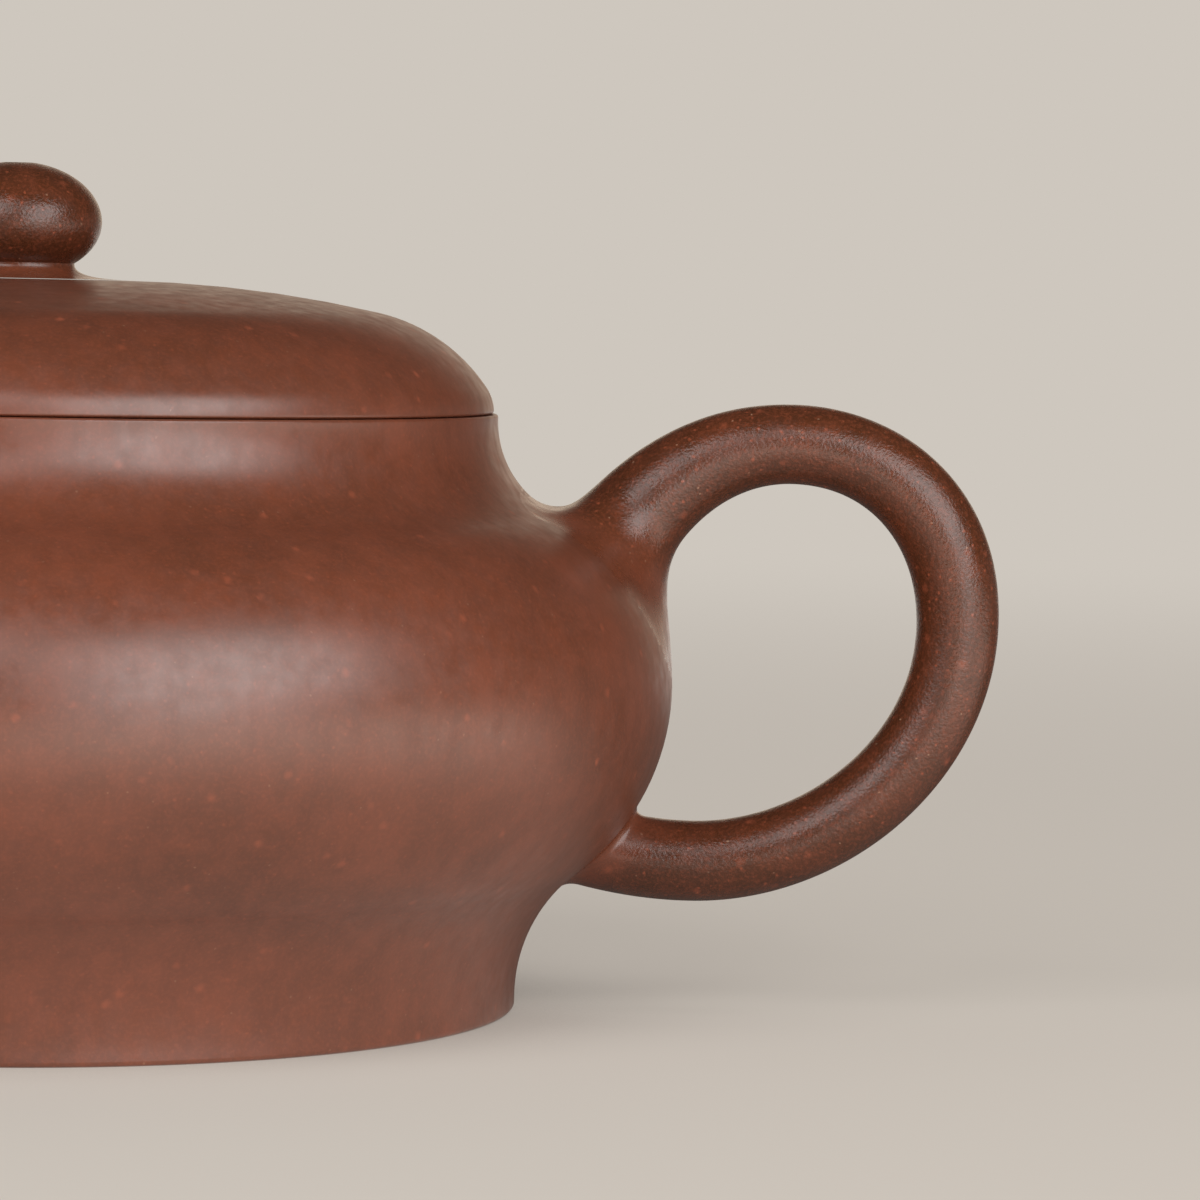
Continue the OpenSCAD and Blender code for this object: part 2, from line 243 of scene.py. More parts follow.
def turned(name, segments, sides=SIDES, fade=None):
    """Turns an outline about the Z axis: the point (r, z) becomes a ring of points (r cos a, r sin a, z)
    for a in equal steps. Each segment keeps its own normals, so edges between segments stay sharp and
    joints with a shared direction stay smooth. fade works out skin's fade from the points."""
    a = np.arange(sides) * 2 * pi / sides
    closed = np.hypot(*(segments[0][0][0] - segments[-1][0][-1])) < 1e-6
    outline = np.concatenate([s[0][:-1] for s in segments] + ([] if closed else [segments[-1][0][-1:]]))

    def spun(flat):
        return np.stack([flat[:, :1] * np.cos(a), flat[:, :1] * np.sin(a),
                         np.repeat(flat[:, 1:], sides, 1)], -1)

    rings = spun(outline)
    return skin(name, rings, spun(np.concatenate([s[1][:-1] for s in segments])),
                spun(np.concatenate([s[1][1:] for s in segments])),
                np.concatenate([np.full(len(s[0]) - 1, s[2]) for s in segments]), closed,
                fade(rings) if fade else None)


def skin(name, rings, first, last, finish, loop, fade=None):
    """A mesh through rings of points, an array of (ring, place, xyz). Strip i joins ring i to the next
    with the normals first[i] and last[i] along its sides and the material finish[i]. A ring whose points
    all meet becomes one point. A loop joins the last ring to the first. fade is a number for each point,
    kept as the attribute that tells how far a limb has left the body."""
    count, sides = rings.shape[:2]
    pole = np.ptp(rings, axis=1).max(axis=1) < 1e-9
    index = np.arange(count * sides).reshape(count, sides)
    index[pole] = index[pole][:, :1]
    used, index = np.unique(index, return_inverse=True)
    index = index.reshape(count, sides)
    i = np.arange(count if loop else count - 1)
    j = (i + 1) % count
    corners = np.stack([index[i], np.roll(index, -1, 1)[i], np.roll(index, -1, 1)[j], index[j]], -1)
    normals = np.stack([first, np.roll(first, -1, 1), np.roll(last, -1, 1), last], 2)
    faces, square, slots = [], [], []
    for keep, rows in (([0, 1, 2, 3], ~pole[i] & ~pole[j]), ([0, 2, 3], pole[i] & ~pole[j]),
                       ([0, 1, 2], pole[j] & ~pole[i])):
        faces += corners[rows][..., keep].reshape(-1, len(keep)).tolist()
        square.append(normals[rows][..., keep, :].reshape(-1, 3))
        slots.append(np.repeat(finish[rows], sides))
    mesh = bpy.data.meshes.new(name)
    mesh.from_pydata(rings.reshape(-1, 3)[used], [], faces)
    mesh.polygons.foreach_set("material_index", np.concatenate(slots).astype(np.int32))
    mesh.polygons.foreach_set("use_smooth", np.ones(len(faces), bool))
    if fade is not None:
        made = mesh.attributes.new("reach", "FLOAT", "POINT")
        made.data.foreach_set("value", np.asarray(fade, np.float32).reshape(-1)[used])
    mesh.normals_split_custom_set(np.concatenate(square))
    return mesh


def values(items, key, width=1, kind=float):
    """One property of every item of a mesh, in rows of that width, or as a plain list for width 1."""
    flat = np.empty(len(items) * width, kind)
    items.foreach_get(key, flat)
    return flat.reshape(-1, width) if width > 1 else flat


def cut(mesh, tool, materials, own_direction):
    """Takes the tool's shape out of a mesh, and gives the cut's walls the last material. Corners on the
    piece's own surface get the direction that own_direction(points) works out, on the face's side, and
    the cut's walls keep smooth normals of their own."""
    for m in (mesh, tool):
        for material in materials:
            m.materials.append(material)
    tool.polygons.foreach_set("material_index", np.full(len(tool.polygons), len(materials) - 1, np.int32))
    work, cutter = (bpy.data.objects.new(m.name, m) for m in (mesh, tool))
    for o in (work, cutter):
        bpy.context.scene.collection.objects.link(o)
    modifier = work.modifiers.new("cut", "BOOLEAN")
    modifier.operation, modifier.solver, modifier.object = "DIFFERENCE", "EXACT", cutter
    graph = bpy.context.evaluated_depsgraph_get()
    made = bpy.data.meshes.new_from_object(work.evaluated_get(graph))
    name = mesh.name
    if len(made.polygons) <= len(mesh.polygons) / 2:
        raise RuntimeError(f"the cut through {name} failed")
    for o in (work, cutter):
        bpy.data.objects.remove(o)
    for m in (mesh, tool):
        bpy.data.meshes.remove(m)
    made.name = name
    for name in ("custom_normal", "sharp_edge", "sharp_face"):
        if name in made.attributes:
            made.attributes.remove(made.attributes[name])
    made.set_sharp_from_angle(angle=radians(30))
    # A face that looks the same way as the piece does there lies on the piece's own surface
    smooth = values(made.corner_normals, "vector", 3)
    own = own_direction(values(made.vertices, "co", 3)[values(made.loops, "vertex_index", kind=np.int32)])
    flat = np.repeat(values(made.polygons, "normal", 3),
                     values(made.polygons, "loop_total", kind=np.int32), 0)
    facing = (own * flat).sum(1)
    on_own = np.abs(facing) > 0.9
    smooth[on_own] = (own * np.sign(facing)[:, None])[on_own]
    made.normals_split_custom_set(smooth)
    return made


def pegs(name, starts, along, size, length, sides=24):
    """Round pegs, one for each start point and direction: points at start + length along + size times
    (cos a, sin a) in two directions square to it, with a flat end on each side."""
    side = unit(np.cross(along, np.where(np.abs(along[:, :1]) < 0.9, (1.0, 0, 0), (0, 1.0, 0))))
    a = (np.arange(sides) * 2 * pi / sides)[:, None]
    ring = size * (np.cos(a) * side[:, None] + np.sin(a) * np.cross(along, side)[:, None])
    points = np.stack([starts[:, None] + ring, starts[:, None] + ring + length * along[:, None]], 1)
    index = np.arange(len(starts) * 2 * sides).reshape(-1, 2, sides)
    low, high = index[:, 0], index[:, 1]
    walls = np.stack([low, np.roll(low, -1, 1), np.roll(high, -1, 1), high], -1).reshape(-1, 4)
    mesh = bpy.data.meshes.new(name)
    mesh.from_pydata(points.reshape(-1, 3), [], walls.tolist() + low[:, ::-1].tolist() + high.tolist())
    return mesh


def directions(rings, loop):
    """The normal at each ring point: the step to the next place round the ring, crossed with the step
    along the rows, both taken from the point before to the point after."""
    round_ring = np.roll(rings, -1, 1) - np.roll(rings, 1, 1)
    along = (np.roll(rings, -1, 0) - np.roll(rings, 1, 0)) if loop else np.gradient(rings, axis=0)
    return unit(np.cross(round_ring, along))


def unit(v):
    """Vectors divided by their lengths."""
    return v / np.maximum(np.linalg.norm(v, axis=-1, keepdims=True), 1e-12)


def ease(low, high, x):
    """0 below low, 1 above high and 3t² - 2t³ between them."""
    t = np.clip((x - low) / (high - low), 0, 1)
    return t * t * (3 - 2 * t)


def bezier(points, t):
    """The cubic curve's point and its direction of travel at t, with the four points along the last
    axis but one: the sum of the points times (1-t)³, 3t(1-t)², 3t²(1-t) and t³."""
    p = np.moveaxis(np.asarray(points, float), -2, 0)
    t = np.asarray(t)[..., None]
    s = 1 - t
    spot = p[0] * s ** 3 + 3 * p[1] * t * s ** 2 + 3 * p[2] * t ** 2 * s + p[3] * t ** 3
    travel = (p[1] - p[0]) * s ** 2 + 2 * (p[2] - p[1]) * t * s + (p[3] - p[2]) * t ** 2
    return spot, travel


# --- The pot's plan


class BodyPlan:
    """The body's outline, worked out from its sizes: four arcs that run into each other from the foot up
    to the neck. The lower turn's versed sine is (belly - foot) over the two lower radii's sum, and the
    upper turn's is (belly - neck) over the two upper radii's sum."""

    def __init__(self, s):
        self.lower = acos(1 - (s.belly - s.foot) / (s.foot_curve + s.lower_belly))
        self.upper = acos(1 - (s.belly - s.neck) / (s.upper_belly + s.neck_curve))
        self.belly_z = s.foot_edge + (s.foot_curve + s.lower_belly) * sin(self.lower)
        self.runs = [(s.foot_curve, -self.lower), (s.lower_belly, self.lower),
                     (s.upper_belly, self.upper * s.shoulder_share),
                     (s.upper_belly, self.upper * (1 - s.shoulder_share)),
                     (s.neck_curve, -self.upper)]
        arcs = section((s.foot, s.foot_edge), QUARTER, self.runs)[:len(self.runs)]
        self.ends = [(a[0][0], atan2(a[1][0][0], -a[1][0][1])) for a in arcs]
        self.neck_end = arcs[-1][0][-1]
        self.outline = np.concatenate([a[0] for a in arcs])
        self.normals = np.concatenate([a[1] for a in arcs])

    def gap(self, p):
        """How far points lie outside the body: their distance from the axis less its radius there."""
        return np.hypot(p[..., 0], p[..., 1]) - np.interp(p[..., 2], *self.outline.T[::-1])

    def fade(self, p):
        """0 on the body and 1 from 5 mm outside it, for the attribute that skin keeps."""
        return ease(0.2 * MM, 5 * MM, self.gap(p))

    def normal(self, p):
        """The body's normal at the height of each point, turned to the point's side."""
        r, z = (np.interp(p[..., 2], self.outline[:, 1], self.normals[:, k]) for k in (0, 1))
        round_axis = unit(p[..., :2])
        return unit(np.concatenate([round_axis * r[..., None], z[..., None]], -1))

    def onto(self, p):
        """Points moved straight towards or away from the axis until they lie on the body."""
        flat = p[..., :2] - unit(p[..., :2]) * self.gap(p)[..., None]
        return np.concatenate([flat, p[..., 2:]], -1)


def limb(spot, travel, radius, wide, lean=0.0):
    """Points round a limb and their directions from its centre line, which lies in the plane of X and
    Z. Each ring is square to the line, or turned by lean towards level, and is wide times as wide along
    Y as it is deep: the line's point plus radius times (-sin h cos a, -wide sin a, cos h cos a), with h
    the ring's heading."""
    h = np.arctan2(travel[..., 1], travel[..., 0]) - lean
    c = np.cos(TURNS) / np.cos(lean) + 0 * h
    outward = np.stack([-np.sin(h) * c, -np.sin(TURNS) * wide + 0 * h, np.cos(h) * c], -1)
    centre = np.stack([spot[..., 0], 0 * c, spot[..., 1]], -1)
    return centre + radius[..., None] * outward, unit(outward)


def leave_body(plan, surface, span):
    """How far along each of a limb's lines the body lets go of it, in the surface's own parameter:
    the last of many samples inside the body, and then the share of the next step up to the surface."""
    v = np.linspace(0, span, SAMPLES + 1)[:, None] + np.zeros(LIMB_SIDES)
    out = plan.gap(surface(v)[0])
    last = len(v) - 1 - np.argmax(out[::-1] < 0, 0)
    before, after = (np.take_along_axis(out, (last + k)[None], 0)[0] for k in (0, 1))
    return v[last, 0] + (v[1, 0] - v[0, 0]) * before / (before - after)


def root(plan, surface, span, near, wide=1.0, steps=16):
    """The fillet where a limb leaves the body. Along each line the limb's corner with the body is B.
    A lies on the body, near times wide from B and away from the limb; C lies near along the limb. A
    cubic curve from A to C leaves along the body and arrives along the limb, with its inner points two
    thirds of the way to B. near is a length for each line. Returns the rows from A to C, C's place in
    the surface's parameter and the body's normals at A."""
    v = leave_body(plan, surface, span)
    corner, outward = surface(v[None])
    tiny = span / SAMPLES
    speed = np.linalg.norm(surface(v[None] + tiny)[0] - surface(v[None] - tiny)[0], axis=-1) / (2 * tiny)
    v_end = v + near / speed[0]
    end = surface(v_end[None])[0]
    travel = unit(surface(v_end[None] + tiny)[0] - surface(v_end[None] - tiny)[0])
    n = plan.normal(corner)
    away = unit(outward - (outward * n).sum(-1, keepdims=True) * n)
    on_body = near[None, :, None] * wide
    start = plan.onto(corner + away * on_body)
    n = plan.normal(start)
    away = unit(away - (away * n).sum(-1, keepdims=True) * n)
    start = start - SINK * n
    control = np.stack([start, start - away * on_body * 2 / 3,
                        end - travel * near[None, :, None] * 2 / 3, end], -2)[0]
    t = np.linspace(0, 1, steps + 1)[:, None] + np.zeros(LIMB_SIDES)
    return bezier(control, t)[0], v_end, n[0]


def piece(mesh, body, node, slot, *materials):
    """Makes a mesh into a piece that stands for a solid and moves with its body."""
    obj = bpy.data.objects.new(mesh.name, mesh)
    bpy.context.scene.collection.objects.link(obj)
    if not mesh.materials:
        for material in materials:
            mesh.materials.append(material)
    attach(obj, body)
    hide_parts(node)


# --- Finishes


def add(tree, kind, *inputs, out=0, **settings):
    """Adds a node, gives it its settings and sets or links its inputs, which come in their order or in
    a dict. Returns one of its outputs."""
    made = tree.nodes.new("ShaderNode" + kind)
    for key, value in settings.items():
        setattr(made, key, value)
    named = inputs and isinstance(inputs[0], dict)
    for key, value in inputs[0].items() if named else enumerate(inputs):
        if isinstance(value, bpy.types.NodeSocket):
            tree.links.new(value, made.inputs[key])
        else:
            made.inputs[key].default_value = value
    return made.outputs[out] if len(made.outputs) else None


def emptied(owner):
    """The node tree of a material or a world, with nothing in it."""
    owner.use_nodes = True
    owner.node_tree.nodes.clear()
    return owner.node_tree


def mask(tree, steps, low=0.0, high=1.0):
    """Runs from low, where a step is off, to high, where all are on. Each step is (value, off, on) and
    eases from 0 at off to 1 at on, and the steps are multiplied."""
    made = 1.0
    for value, off, on in steps:
        made = add(tree, "Math", made, add(tree, "MapRange", value, off, on,
                                           interpolation_type="SMOOTHSTEP"), operation="MULTIPLY")
    return add(tree, "MapRange", made, 0, 1, low, high)


def zisha(name, look, gloss, index, ground, limb=False, scraped=False):
    """Fired zisha stoneware clay, an unglazed sandy red-brown clay. gloss is its roughness and index its
    index of refraction. On a limb the hand smoothed look follows the piece's reach attribute. Coats of
    other colours lie over the ground, each with a mask."""
    material = bpy.data.materials.get(name) or bpy.data.materials.new(name)
    tree = emptied(material)
    place = add(tree, "TexCoord", out="Object")
    reach = add(tree, "Attribute", out="Fac", attribute_name="reach") if limb else 0.0
    # How strong the pepper, the grains, the iron-dark grains and the orange-peel are, on a wall and out
    # on a limb
    peppered, strong, iron, peel = (add(tree, "MapRange", reach, 0, 1, wall, arm) for wall, arm in (
        (0.12, 0.2), (0.3, 0.85), (0, 0.5), (0.08, 1)))
    # Strokes are drawn out 6 times as far upwards
    drawn = add(tree, "VectorMath", place, (1, 1, 0.16), operation="MULTIPLY")
    # Noises: the width of their patches in millimetres, detail and roughness
    cloud, patch, stroke, pepper, wave, pore, smear = (
        add(tree, "TexNoise", {"Vector": where, "Scale": 1 / (width * MM), "Detail": detail,
                               "Roughness": rough})
        for where, width, detail, rough in (
            (place, 14, 3, 0.5), (place, 2.5, 2, 0.5), (drawn, 1.3, 2, 0.5), (place, 0.28, 2, 0.6),
            (place, 5, 1, 0.5), (place, 0.22, 2, 0.5), (place, 1.2, 3, 0.5)))
    # Clouding of the fired clay, quieter patches in it, strokes of the burnishing tool, and pepper
    coats = [(look.pale, mask(tree, [(cloud, 0.35, 0.68)])), (look.limb, reach),
             (look.orange, mask(tree, [(patch, 0.42, 0.66)], 0, 0.08)),
             (look.dark, mask(tree, [(stroke, 0.4, 0.7)], 0, 0.1)),
             (look.orange, mask(tree, [(pepper, 0.42, 0.7)], 0, peppered))]
    # Grains lie where the wavering of a 0.4 mm noise moves them by up to 0.12 mm, so that none is a
    # perfect disc
    waver = add(tree, "TexNoise", {"Vector": place, "Scale": 1 / (0.4 * MM), "Detail": 1}, out="Color")
    shift = add(tree, "VectorMath", waver, (0.5, 0.5, 0.5), operation="SUBTRACT")
    bent = add(tree, "VectorMath", shift, (0.25 * MM,) * 3, place, operation="MULTIPLY_ADD")
    # Sand grains of three colours, then two sizes of blots, which are orange sand pressed flat under the
    # burnished skin. Each lies at the middle of some of a pattern's cells: colour, spacing of the cells,
    # radius in millimetres, share of the cells, soft edge as a share of the radius, and two strengths
    for tint, spacing, radius, some, soft, full, by in (
            (look.orange, look.grain, 0.18, 0.7, 0.9, 0.75, strong),
            (look.cream, look.grain * 1.6, 0.12, 0.6, 0.8, 0.6, strong),
            (look.dark, look.grain * 1.2, 0.15, 0.4, 0.9, iron, strong),
            (look.orange, 2.6 * MM, 0.5, 0.7, 0.9, 0.36, 1.0),
            (look.orange, 5.5 * MM, 0.45, 0.7, 0.9, 0.6, 1.0)):
        cells = add(tree, "TexVoronoi", {"Vector": bent, "Scale": 1 / spacing, "Randomness": 0.9})
        chosen = add(tree, "Math", add(tree, "SeparateColor", cells.node.outputs["Color"]), some,
                     operation="LESS_THAN")
        for strength in (full, by):
            chosen = add(tree, "Math", chosen, strength, operation="MULTIPLY")
        edge = radius * MM / spacing
        coats.append((tint, mask(tree, [(cells, edge, edge * (1 - soft))], 0, chosen)))
    tone = ground
    for tint, factor in coats:
        tone = add(tree, "Mix", {0: factor, 6: tone, 7: tint}, out=2, data_type="RGBA")
    # Burnishing leaves the surface a little uneven: waves 5 mm wide and an orange-peel of 0.22 mm
    waves = add(tree, "Bump", {"Height": wave, "Strength": 1.0, "Distance": 0.015 * MM})
    bump = add(tree, "Bump", {"Height": pore, "Strength": 1.0 if scraped else peel, "Normal": waves,
                              "Distance": (0.12 if scraped else 0.045) * MM})
    uneven = add(tree, "Mix", {0: 0.3, 2: smear, 3: stroke})
    rough = add(tree, "MapRange", uneven, 0.35, 0.65, gloss - 0.05, gloss + 0.06)
    shader = add(tree, "BsdfPrincipled", {"Base Color": tone, "Roughness": rough, "IOR": index,
                                          "Normal": bump})
    add(tree, "OutputMaterial", shader)
    return material


def clays(scene):
    """The three finishes of the pot's clay."""
    look = scene.teapot_clay
    gloss = look.roughness
    return {
        # Burnished with a horn tool while leather hard: a soft sheen over quiet clouding
        "burnished": zisha("burnished_zisha", look, gloss, 1.68, look.ground),
        # Rolled and smoothed by hand: browner, with the sand showing and a fine orange-peel
        "smoothed": zisha("hand_smoothed_zisha", look, gloss - 0.08, 1.52, look.ground, limb=True),
        # Scraped and left: dull, paler and rough
        "scraped": zisha("scraped_zisha", look, 0.7, 1.5, look.inside, scraped=True),
    }


# --- Operators


class TEAPOT_OT_walls(Operator):
    """Turn the pot's foot, base, belly wall, shoulder and neck"""
    bl_idname = "teapot.walls"
    bl_label = "Turn the walls"

    def execute(self, context):
        s, clay = context.scene.teapot_body, clays(context.scene)
        plan = BodyPlan(s)
        outer, inner = clay["burnished"], clay["scraped"]

        # The foot's bore is 2 roundings narrower than the step under it; its inner arc runs down to the
        # clay pressed along the floor, which touches both the wall and the floor.
        inner_curve = s.foot_curve + s.wall
        lift = s.floor + s.floor_fillet - s.foot_edge
        meet = asin(lift / (inner_curve + s.floor_fillet))
        fillet_r = s.foot + s.foot_curve - sqrt((inner_curve + s.floor_fillet) ** 2 - lift ** 2)
        foot = section((s.foot_bore + s.foot_round, 0), 0, [
            (s.foot - s.foot_bore - 2 * s.foot_round, 0), (s.foot_round, QUARTER),
            (s.foot_edge - s.foot_round, 0), plan.runs[0], CORNER, (s.wall, 0), CORNER,
            (inner_curve, plan.lower - meet, 1), (s.floor_fillet, meet - QUARTER, 1),
            (fillet_r - s.base, 0, 1), CORNER, (s.base_thickness, 0), (0, -QUARTER),
            (s.base - s.foot_bore, 0), CORNER,
            (s.floor - s.base_thickness - s.foot_round, 0, 1), (s.foot_round, QUARTER)])
        piece(turned("turned_foot", foot), "pot", "foot_ring", "pot_clay", outer, inner)

        base = section((0, s.floor - s.base_thickness), 0, [
            (s.base, 0, 1), CORNER, (s.base_thickness, 0, 1), CORNER, (s.base, 0, 1)])
        piece(turned("base_slab", base), "pot", "base_disc", "pot_clay", outer, inner)

        belly = section(*plan.ends[1], [
            plan.runs[1], plan.runs[2], CORNER, (s.wall, 0), CORNER,
            (s.upper_belly - s.wall, -plan.runs[2][1], 1), (s.lower_belly - s.wall, -plan.lower, 1),
            CORNER])

        def belly_direction(p):
            """Square to the belly: away from the centre of the upper or the lower round."""
            r = np.hypot(p[:, 0], p[:, 1])
            middle = s.belly - np.where(p[:, 2] < plan.belly_z, s.lower_belly, s.upper_belly)
            return unit(np.stack([p[:, 0] / r * (r - middle), p[:, 1] / r * (r - middle),
                                  p[:, 2] - plan.belly_z], 1))

        deep = 10 * MM  # How far the cutting tool reaches in and out from the belly's widest ring
        hole = turned("hole", section((0, s.belly - deep), 0, [
            (s.pour_hole, 0), CORNER, (2 * deep, 0), CORNER, (s.pour_hole, 0)]), sides=96)
        hole.transform(Matrix.Translation((0, 0, s.pour_height)) @ Matrix.Rotation(-QUARTER, 4, "Y"))
        belly = cut(turned("belly_wall", belly), hole, (outer, inner), belly_direction)
        piece(belly, "pot", "body_wall", "pot_clay")

        end = plan.ends[4][0]
        under = end[1] - s.wall * sin(plan.upper)
        inner_end = end[0] - s.wall * cos(plan.upper)
        shoulder = section(*plan.ends[3], [
            plan.runs[3], (0, QUARTER * 2 - plan.ends[4][1]), (end[0] - s.mouth, 0), CORNER,
            (end[1] - under - s.bore_round, 0, 1), (s.bore_round, QUARTER, 1),
            (inner_end - s.mouth - s.bore_round, 0, 1), (0, plan.upper - QUARTER),
            (s.upper_belly - s.wall, -plan.runs[3][1], 1), CORNER])
        piece(turned("shoulder_slab", shoulder), "pot", "shoulder_disc", "pot_clay", outer, inner)

        neck = section(*plan.ends[4], [
            plan.runs[4], (s.rim - s.rim_round - plan.neck_end[1], 0), (s.rim_round, QUARTER),
            (s.neck - s.rim_round - s.mouth - s.bore_round, 0), (s.bore_round, QUARTER),
            (s.rim - s.bore_round - end[1], 0, 1), CORNER])
        piece(turned("neck_and_rim", neck), "pot", "neck_ring", "pot_clay", outer, inner)
        return {"FINISHED"}


class TEAPOT_OT_lid(Operator):
    """Turn the lid's edge, dome and flange"""
    bl_idname = "teapot.lid"
    bl_label = "Turn the lid"

    def execute(self, context):
        s, clay = context.scene.teapot_lid, clays(context.scene)
        skins = clay["burnished"], clay["scraped"]
        vent = context.scene.teapot_knob.vent_inner
        seat = context.scene.teapot_body.rim + s.seam
        # The lower edge's rounding touches the seat and, from inside, the lid's rounded edge.
        lean = asin(s.seat_round / (s.edge - s.seat_round))
        touch = s.radius - s.edge + (s.edge - s.seat_round) * cos(lean)
        plate_z = seat + s.edge * sin(s.edge_turn)
        plate_r = s.radius - s.edge * (1 - cos(s.edge_turn))
        edge = section((s.flange_bore, seat), 0, [
            (touch - s.flange_bore, 0, 1), (s.seat_round, QUARTER + lean),
            (s.edge, s.edge_turn - lean), (0, QUARTER - s.edge_turn),
            (plate_r - s.flange_bore, 0), CORNER, (plate_z - seat, 0, 1), CORNER])
        piece(turned("lid_edge", edge), "lid", "lid_plate", "lid_clay", *skins)

        dome_turn = QUARTER - s.edge_turn - s.shoulder_turn
        # The shoulder's centre is at round_r; inside, its arc ends where it comes down to the plate's top
        round_r = plate_r - s.shoulder * cos(s.edge_turn)
        curve = (round_r - s.flat) / sin(dome_turn) + s.shoulder
        inside = s.shoulder - s.wall
        stop = asin(s.shoulder * sin(s.edge_turn) / inside)
        dome = section((plate_r, plate_z), QUARTER + s.edge_turn, [
            (s.shoulder, s.shoulder_turn), (curve, dome_turn), (s.flat - vent, 0), CORNER,
            (s.wall, 0, 1), CORNER, (s.flat - vent, 0, 1), (curve - s.wall, -dome_turn, 1),
            (inside, dome_turn + stop - QUARTER, 1), (0, QUARTER - stop)])
        piece(turned("lid_dome_shell", dome), "lid", "lid_dome", "lid_clay", *skins)

        clear = 0.01 * MM  # The collar stays just clear of the plate, which turns over it
        flange = section((s.flange_bore + s.flange_round, seat - s.flange_depth - clear), 0, [
            (s.flange - s.flange_bore - 2 * s.flange_round, 0, 1), (s.flange_round, QUARTER, 1),
            (s.flange_depth - s.flange_round, 0, 1), CORNER, (s.flange - s.flange_bore, 0), CORNER,
            (s.flange_depth - s.flange_round, 0, 1), (s.flange_round, QUARTER, 1)])
        piece(turned("lid_collar", flange), "lid_seat", "lid_flange", "lid_clay", *skins)
        return {"FINISHED"}


class TEAPOT_OT_knob(Operator):
    """Turn the knob and its air hole"""
    bl_idname = "teapot.knob"
    bl_label = "Turn the knob"

    def execute(self, context):
        s, clay = context.scene.teapot_knob, clays(context.scene)
        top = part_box("lid_dome")[1].z
        middle = top + s.middle
        foot_rows, ball_rows = 24, 64
        # Its foot leaves the lid nearly level and turns up into the waist. The ball is two half ellipses:
        # r = radius cos a, z = middle + depth sin a.
        waist_a = -acos(s.waist / s.radius)
        waist_z = middle + s.down * sin(waist_a)
        spot, travel = bezier([(s.spread, top - SINK), (s.spread - 2.2 * MM, top + 0.05 * MM),
                               (s.waist - 0.1 * MM, top + 0.35 * MM), (s.waist, waist_z)],
                              np.linspace(0, 1, foot_rows + 1))
        spread = (spot, unit(np.stack([travel[:, 1], -travel[:, 0]], 1)), 0)
        brim = s.vent + 0.3 * MM  # The ball stops where the air hole's lip begins
        a = np.linspace(waist_a, acos(brim / s.radius), ball_rows + 1)
        depth = np.where(a < 0, s.down, s.up)
        ball = (np.stack([s.radius * np.cos(a), middle + depth * np.sin(a)], 1),
                unit(np.stack([np.cos(a) / s.radius, np.sin(a) / depth], 1)), 0)
        # The air hole: a rounded lip, a straight bore, and a cone that widens by a quarter of its depth
        brim, square = ball[0][-1], ball[1][-1]
        heading = atan2(square[0], -square[1])
        lip = (brim[0] - s.vent) / (1 + sin(heading))
        cone, lean = 3.5 * MM, atan2(1, 4)
        hole = section(brim, heading, [
            (lip, 3 * QUARTER - heading), (brim[1] + lip * cos(heading) - top - cone, 0, 1),
            (0, lean), (cone / cos(lean), 0, 1)])[:3]
        under = (np.stack([hole[-1][0][-1], spot[0]]), np.array([[0, -1.0], [0, -1.0]]), 1)
        # Round the waist the lid's look gives way to the limbs'
        mesh = turned("lid_knob", [spread, ball, *hole, under], sides=192,
                      fade=lambda p: ease(waist_z - 0.9 * MM, waist_z + 0.5 * MM, p[..., 2]))
        piece(mesh, "lid", "knob", "lid_clay", clay["smoothed"], clay["scraped"])
        return {"FINISHED"}


